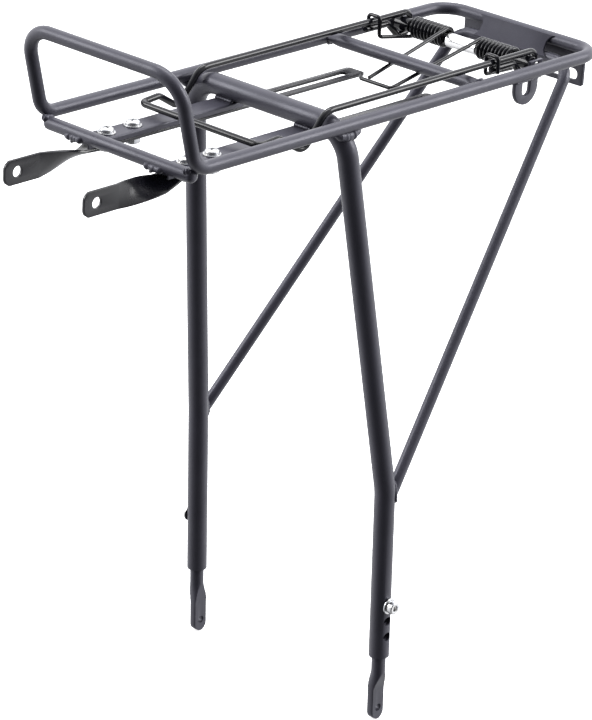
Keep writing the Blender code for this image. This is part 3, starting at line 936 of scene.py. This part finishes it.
def build_strip(word, side):
    """A flat stay with a long slot: towards the front it drops a little and twists into an upright tab."""
    builder = bmesh.new()
    rings = []
    thick = STRIP_THICK / 2
    for x, half in strip_stations():
        turn = share_along(x, TWIST_X) * math.pi / 2
        across = Vector((0.0, math.cos(turn), -side * math.sin(turn)))
        up = Vector((1, 0, 0)).cross(across)
        outline = [(half * part, thick) for part in (1, 0.5, 0, -0.5, -1)]
        outline += [(half * part, -thick) for part in (-1, -0.5, 0, 0.5, 1)]
        centre = Vector((x, side * CHANNEL_Y, STRIP_Z - share_along(x, DROP_X) * TWIST_DROP))
        rings.append(ring(builder, centre, across, up, outline))
    skin(builder, rings)
    builder.faces.new(rings[0])
    builder.faces.new(rings[-1])
    rear, front = STRIP_SLOT_X[0] + STRIP_SLOT_HALF, STRIP_SLOT_X[1] - STRIP_SLOT_HALF
    outline = corner_arc((front, 0.0), STRIP_SLOT_HALF, -90, 90, 12)
    outline += corner_arc((rear, 0.0), STRIP_SLOT_HALF, 90, 270, 12)
    slot = plate([outline], 6.0, (0.0, side * CHANNEL_Y, STRIP_Z), (1, 0, 0), (0, 1, 0))
    hole_at = (TAB_HOLE_X, side * CHANNEL_Y, STRIP_Z - TWIST_DROP)
    hole = turned([(-5.0, TAB_HOLE_RADIUS), (5.0, TAB_HOLE_RADIUS)], hole_at, (0, 1, 0), 36)
    strip = make("stay_" + word, builder, "strip", [slot, hole], 0.35)
    mount(strip, "stay_" + word, "stay_strip_" + word)


# ---------------------------------------------------------------- clamp


def build_axle():
    """The springs' axle, and the loose sleeve that hangs on its middle."""
    end = AXLE_RADIUS - AXLE_CHAMFER
    straight = AXLE_HALF - AXLE_CHAMFER
    axle = [(-AXLE_HALF, end), (-straight, AXLE_RADIUS), (straight, AXLE_RADIUS), (AXLE_HALF, end)]
    pin = turned(axle, (AXLE_X, 0.0, AXLE_Z), (0, 1, 0))
    mount(make("axle_pin", pin, "zinc"), "frame", "clamp_axle")
    hung = (AXLE_X, 0.0, AXLE_Z - SLEEVE_DROP)
    tube = collar(-SLEEVE_HALF, SLEEVE_HALF, SLEEVE_BORE, SLEEVE_RADIUS, 0.4, hung, (0, 1, 0))
    mount(make("sleeve_tube", tube, "bright"), "frame", "axle_sleeve")


def build_bush(word, side):
    bush = collar(*BUSH_Y, AXLE_RADIUS + 0.3, BUSH_RADIUS, 0.5, (AXLE_X, 0.0, AXLE_Z), (0, side, 0))
    mount(make("bush_" + word, bush, "gloss"), "frame", "axle_bush_" + word)


def coil_points(side):
    """The coil from its inner end, over the top and forward, to its outer end at the bottom."""
    start = math.radians(COIL_START)
    end = start + 2 * math.pi * COIL_TURNS + math.radians(COIL_PART_TURN)
    steps = COIL_TURNS * COIL_STEPS + COIL_STEPS // 2
    points = []
    for step in range(steps + 1):
        share = step / steps
        turn = start + share * (end - start)
        across = side * (COIL_Y[0] + share * (COIL_Y[1] - COIL_Y[0]))
        arm = Vector((math.cos(turn), 0.0, math.sin(turn))) * COIL_RADIUS
        points.append(Vector((AXLE_X, across, AXLE_Z)) + arm)
    return points


def build_spring(word, side):
    """A torsion spring, made in one pose: its inner leg rests on the frame and its outer hook catches the
    clamp.
    The left one's inner leg ends in a foot turned along the cross tube."""
    coil = coil_points(side)
    inner = [Vector((x, y, RAIL_Z + rise)) for x, y, rise in SPRING_FOOT[side]]
    if side > 0:
        inner = rounded_path(inner + [coil[0]], (2.0, 1.6, 0.6), 6)[:-1]
    near, far = HOOK_Y
    hook = [
        (AXLE_X + 4.0, 45.0, AXLE_Z - 6.2),
        (HOOK_X[side], near, HOOK_BOTTOM),
        (HOOK_X[side], near, HOOK_TOP),
        (HOOK_X[side], far, HOOK_TOP),
        (HOOK_X[side], far, HOOK_BOTTOM + 3.0),
    ]
    outer = rounded_path([flip(point, side) for point in hook], (3.0, 2.6, 2.6), 9)
    spring = make("torsion_spring_" + word, swept(inner + coil + outer, COIL_WIRE, COIL_SIDES), "gloss")
    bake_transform(spring)
    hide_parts("spring_" + word)


def bail_half():
    """The left half of the bail: the end of its hairpin, the turn round the axle, the arm and the nose."""
    back_x = AXLE_X - EYE_REACH
    slope = (BAIL_REAR_Z - BAIL_FRONT_Z) / (BAIL_BEND_X - back_x)
    tip_z = BAIL_REAR_Z - slope * (HAIRPIN_X - back_x) - HAIRPIN_DROP
    shape = [
        (HAIRPIN_X, BAIL_REAR_Y, tip_z),
        (AXLE_X + 16.0, BAIL_REAR_Y, tip_z),
        (AXLE_X + 5.0, BAIL_REAR_Y, AXLE_Z - EYE_REACH),
        (back_x, BAIL_REAR_Y, AXLE_Z - EYE_REACH),
        (back_x, BAIL_REAR_Y, BAIL_REAR_Z),
        (BAIL_BEND_X, BAIL_FRONT_Y, BAIL_FRONT_Z),
        (BAIL_DIP[0], BAIL_FRONT_Y, BAIL_DIP[1]),
        (BAIL_RISE[0], BAIL_NOSE_Y, BAIL_RISE[1]),
        (BAIL_NOSE_X, BAIL_NOSE_Y, BAIL_NOSE_Z),
        (BAIL_NOSE_X, 0.0, BAIL_NOSE_Z),
    ]
    return rounded_path(shape, (5.0, 5.0, 6.5, 6.5, 14.0, 7.0, 7.0, 5.0), 10)[:-1]


def build_bail():
    wire = swept(mirrored(bail_half()), BAIL_WIRE, WIRE_SIDES)
    mount(make("bail_wire", wire, "gloss", bevel=0.4), "clamp", "clamp_bail")


# ---------------------------------------------------------------- feet and bolts


def foot_sections():
    """Down the rod, each section's height, half width, half thickness, inset, and how tall its round is
    before the press flattens it."""
    presses = [(FOOT_ROD_TOP, 0.0), (FOOT_PRESS_TOP, 0.0)]
    for step in range(1, FOOT_PRESS_STEPS + 1):
        share = step / FOOT_PRESS_STEPS
        presses.append((FOOT_PRESS_TOP - FOOT_PRESS_LENGTH * share, share))
    sections = []
    for height, press in presses:
        half_width = FOOT_ROD + (FOOT_HALF_WIDTH - FOOT_ROD) * eased(press)
        half_thick = FOOT_ROD + (FOOT_HALF_THICK - FOOT_ROD) * press
        tall = half_width * (1.0 + FOOT_SWELL * press)
        sections.append((height, half_width, half_thick, FOOT_INSET * eased(press), tall))
    tall = FOOT_HALF_WIDTH * (1.0 + FOOT_SWELL)
    for turn in range(0, 89, 8):
        height = FOOT_TIP_Z - FOOT_HALF_WIDTH * math.sin(math.radians(turn))
        half_width = FOOT_HALF_WIDTH * math.cos(math.radians(turn))
        sections.append((height, half_width, FOOT_HALF_THICK, FOOT_INSET, tall))
    return sections


def build_foot_rod(word, side):
    """A round rod with a flat, drilled lower end and a pocket behind each of the leg's holes."""
    builder = bmesh.new()
    rings = []
    for height, half_width, half_thick, inset, tall in foot_sections():
        centre = leg_axis(height)
        centre.y -= inset
        outline = []
        for across, rise in circle(1.0, 48):
            outline.append((half_width * across, max(-half_thick, min(half_thick, rise * tall))))
        rings.append(ring(builder, flip(centre, side), Vector((1, 0, 0)), Vector((0, 1, 0)), outline))
    skin(builder, rings)
    builder.faces.new(rings[0])
    builder.faces.new(rings[-1])
    eyelet = [(-FOOT_HALF_WIDTH, FOOT_EYELET), (FOOT_HALF_WIDTH, FOOT_EYELET)]
    drills = [turned(eyelet, (0.0, side * LEG_Y, 0.0), (0, 1, 0), 28)]
    for height in HOLE_HEIGHTS:
        pocket = [(1.5, FOOT_POCKET), (FOOT_ROD + 1.0, FOOT_POCKET)]
        drills.append(turned(pocket, flip(leg_axis(height), side), (0, side, 0), 28))
    rod = make("foot_" + word, builder, "coat", drills, 0.3)
    mount(rod, "foot_" + word, "foot_rod_" + word)


def head_profile(seat, radius, height):
    """A pan head's dome from its seat to its top, as (distance, radius)."""
    profile = [(seat, radius * 0.97), (seat + 0.12 * height, radius)]
    for turn in range(20, 81, 12):
        rise = seat + height * (0.25 + 0.75 * math.sin(math.radians(turn)))
        profile.append((rise, radius * math.cos(math.radians(turn)) ** 0.75))
    return profile


def cross_recess(centre, axis, top, reach, width, depth):
    """The cutter for a cross-shaped hollow in a head, this deep from its top."""
    along = Vector(axis)
    side = along.orthogonal().normalized()
    half = width / 2
    outline = []
    for turn in range(4):
        c, s = math.cos(turn * math.pi / 2), math.sin(turn * math.pi / 2)
        for across, up in ((reach, -half), (reach, half), (half, half)):
            outline.append((across * c - up * s, across * s + up * c))
    middle = Vector(centre) + along * (top - depth / 2 + 0.5)
    return plate([outline], depth + 1.0, middle, side, along.cross(side))


def build_foot_bolt(word, side):
    """A socket-head bolt and its washer through the leg's uppermost hole: the right one's head is low."""
    centre = flip(leg_axis(HOLE_HEIGHTS[0]), side)
    axis = Vector((0, side, 0))
    face = LEG_RADIUS + 0.1
    washer = collar(face, face + WASHER_THICK, 2.6, 5.6, 0.2, centre, axis)
    mount(make("leg_washer_" + word, washer, "zinc"), "frame", "foot_washer_" + word)
    seat = face + BOLT_SEAT
    rim = seat + FOOT_HEAD[side]
    profile = [
        (FOOT_ROD + 0.3, FOOT_SHANK),
        (seat, FOOT_SHANK),
        (seat, FOOT_HEAD_RADIUS - 0.1),
        (seat + 0.2, FOOT_HEAD_RADIUS),
        (rim, FOOT_HEAD_RADIUS),
        (rim + 0.5, FOOT_HEAD_RADIUS - 0.5),
    ]
    bottom = seat + 0.6 * FOOT_HEAD[side]
    socket = turned([(bottom, FOOT_SOCKET), (rim + 2.0, FOOT_SOCKET)], centre, axis, 6)
    bolt = make("leg_bolt_" + word, turned(profile, centre, axis), "zinc", [socket], 0.2)
    mount(bolt, "frame", "foot_bolt_" + word)


def thread(low, high):
    """A bolt's threaded end, as crests and roots, with a chamfered tip."""
    root = THREAD_RADIUS - THREAD_DEPTH
    profile = [(low, root - THREAD_DEPTH), (low + THREAD_DEPTH, root)]
    for index in range(int((high - low - 0.5) / THREAD_PITCH)):
        base = low + 0.5 + index * THREAD_PITCH
        profile += [(base, root), (base + THREAD_PITCH / 2, THREAD_RADIUS)]
    return profile + [(high, THREAD_RADIUS)]


def build_nut(low, high, radius, centre):
    """A hexagon nut with its corners turned off at both faces."""
    builder = bmesh.new()
    flat = radius * math.cos(math.pi / 6)
    hexagon, round_face = [], []
    for index in range(48):
        turn = 2 * math.pi * index / 48
        away = (turn + math.pi / 6) % (math.pi / 3) - math.pi / 6
        reach = flat / math.cos(math.pi / 6 - abs(away))
        hexagon.append((reach * math.cos(turn), reach * math.sin(turn)))
        round_face.append((flat * 0.96 * math.cos(turn), flat * 0.96 * math.sin(turn)))
    hole = circle(NUT_HOLE, 48)
    x_way, y_way = Vector((1, 0, 0)), Vector((0, 1, 0))
    rings = []
    for height, outline in (
        (low, hole),
        (low, round_face),
        (low + 0.6, hexagon),
        (high - 0.3, hexagon),
        (high, round_face),
        (high, hole),
    ):
        rings.append(ring(builder, Vector(centre) + Vector((0, 0, height)), x_way, y_way, outline))
    skin(builder, rings + [rings[0]])
    return builder


def build_stay_bolt(word, side, place, bolt_x):
    """A cross-head bolt through a channel and its stay, turned its own way, with its washer and nut."""
    centre = Vector((bolt_x, side * CHANNEL_Y, CHANNEL_TOP_Z))
    up = Vector((0, 0, 1))
    tag = word + "_" + place
    washer = collar(0.05, WASHER_THICK, 2.7, 5.9, 0.2, centre, up)
    mount(make("washer_" + tag, washer, "zinc"), "frame", "stay_washer_" + tag)
    nut_top = -CHANNEL_HEIGHT - STRIP_THICK - 0.6
    profile = thread(nut_top - BOLT_TIP_REACH, nut_top + 1.0) + [(BOLT_SEAT, BOLT_SHANK)]
    profile += head_profile(BOLT_SEAT, BOLT_HEAD_RADIUS, BOLT_HEAD_HEIGHT)
    turn = Matrix.Rotation(math.radians(20 + 37 * bolt_x), 4, "Z")
    recess = cross_recess(centre, up, BOLT_SEAT + BOLT_HEAD_HEIGHT, reach=2.7, width=1.25, depth=1.5)
    recess.transform(Matrix.Translation(centre) @ turn @ Matrix.Translation(-centre))
    bolt = make("bolt_" + tag, turned(profile, centre, up), "zinc", [recess], 0.15)
    mount(bolt, "frame", "stay_bolt_" + tag)
    nut = build_nut(nut_top - NUT_HEIGHT, nut_top, NUT_RADIUS, centre)
    mount(make("nut_" + tag, nut, "zinc"), "frame", "stay_nut_" + tag)


# ---------------------------------------------------------------- stage


def build_floor():
    """White paper just under the feet: it glows a little, and adds no light or reflection to the object."""
    mesh = bpy.data.meshes.new("floor")
    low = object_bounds()[0].z - FLOOR_GAP
    corners = [(FLOOR_HALF * x, FLOOR_HALF * y, low) for x, y in ((-1, -1), (1, -1), (1, 1), (-1, 1))]
    mesh.from_pydata(corners, [], [(0, 1, 2, 3)])
    floor = bpy.data.objects.new("floor", mesh)
    bpy.context.scene.collection.objects.link(floor)
    nodes = Nodes("floor_paper")
    nodes.put("Base Color", (0.9, 0.9, 0.9, 1.0))
    nodes.put("Roughness", 0.9)
    nodes.put("Specular IOR Level", 0.0)
    nodes.put("Emission Color", (1.0, 1.0, 1.0, 1.0))
    nodes.put("Emission Strength", 0.62)
    mesh.materials.append(nodes.material)
    floor.visible_glossy = False
    floor.visible_diffuse = False


def eased_range(tree, value, source, target):
    """The value carried from the first range onto the second, easing in and out."""
    made = tree.nodes.new("ShaderNodeMapRange")
    made.interpolation_type = "SMOOTHSTEP"
    made.inputs["From Min"].default_value, made.inputs["From Max"].default_value = source
    made.inputs["To Min"].default_value, made.inputs["To Max"].default_value = target
    tree.links.new(value, made.inputs["Value"])
    return made.outputs["Result"]


def combined(tree, operation, first, second):
    made = tree.nodes.new("ShaderNodeMath")
    made.operation = operation
    tree.links.new(first, made.inputs[0])
    tree.links.new(second, made.inputs[1])
    return made.outputs["Value"]


def build_world():
    """A soft studio: bright overhead, at the sides and behind, dimmer below, dark on the camera's side."""
    world = bpy.data.worlds.new("studio")
    world.use_nodes = True
    bpy.context.scene.world = world
    tree = world.node_tree
    place = tree.nodes.new("ShaderNodeTexCoord").outputs["Generated"]
    facing = tree.nodes.new("ShaderNodeVectorMath")
    facing.operation = "DOT_PRODUCT"
    facing.inputs[1].default_value = (0.744, 0.668, 0.0)
    tree.links.new(place, facing.inputs[0])
    parts = tree.nodes.new("ShaderNodeSeparateXYZ")
    tree.links.new(place, parts.inputs[0])
    sides = eased_range(tree, facing.outputs["Value"], (0.8, -0.15), (0.12, 1.9))
    above = eased_range(tree, parts.outputs["Z"], (0.5, 1.0), (0.0, 0.6))
    below = eased_range(tree, parts.outputs["Z"], (-0.9, -0.1), (0.45, 1.0))
    brightest = combined(tree, "MAXIMUM", combined(tree, "MULTIPLY", sides, below), above)
    background = tree.nodes["Background"]
    background.inputs["Color"].default_value = (0.97, 0.975, 1.0, 1.0)
    tree.links.new(brightest, background.inputs["Strength"])


def build_lamp(name, place, power, size):
    lamp = bpy.data.lights.new(name, "AREA")
    lamp.energy = power
    lamp.shape = "RECTANGLE"
    lamp.size, lamp.size_y = size
    obj = bpy.data.objects.new(name, lamp)
    obj.location = place
    aim = Vector(LAMP_TARGET) - Vector(place)
    obj.rotation_euler = aim.to_track_quat("-Z", "Y").to_euler()
    obj.visible_camera = False
    bpy.context.scene.collection.objects.link(obj)


def build_camera():
    camera = bpy.data.cameras.new("camera")
    camera.sensor_fit = "VERTICAL"
    camera.sensor_height = CAMERA_SENSOR
    camera.lens = CAMERA_LENS
    camera.shift_x, camera.shift_y = CAMERA_SHIFT
    camera.clip_end = CAMERA_REACH
    obj = bpy.data.objects.new("camera", camera)
    turn = Matrix((CAMERA_RIGHT, CAMERA_UP, CAMERA_BACK)).transposed()
    obj.matrix_world = Matrix.Translation(CAMERA_PLACE) @ turn.to_4x4()
    bpy.context.scene.collection.objects.link(obj)
    bpy.context.scene.camera = obj


def main():
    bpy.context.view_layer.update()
    build_side_loop()
    build_front_cross()
    build_second_cross()
    build_leg_hoop()
    build_leg_saddles()
    build_brace_hoop()
    build_tail_plate()
    build_reflector_bracket()
    build_pannier_lug()
    build_axle()
    build_bail()
    build_welds()
    for word, side in (("left", 1), ("right", -1)):
        build_channel(word, side)
        build_axle_lug(word, side)
        build_bush(word, side)
        build_spring(word, side)
        build_strip(word, side)
        build_foot_rod(word, side)
        build_foot_bolt(word, side)
        for place, bolt_x in zip(("front", "rear"), STAY_BOLT_X):
            build_stay_bolt(word, side, place, bolt_x)
    build_floor()
    build_world()
    for name, place, power, size in LAMPS:
        build_lamp(name, place, power, size)
    build_camera()
    bpy.context.scene.view_settings.view_transform = "Standard"


main()
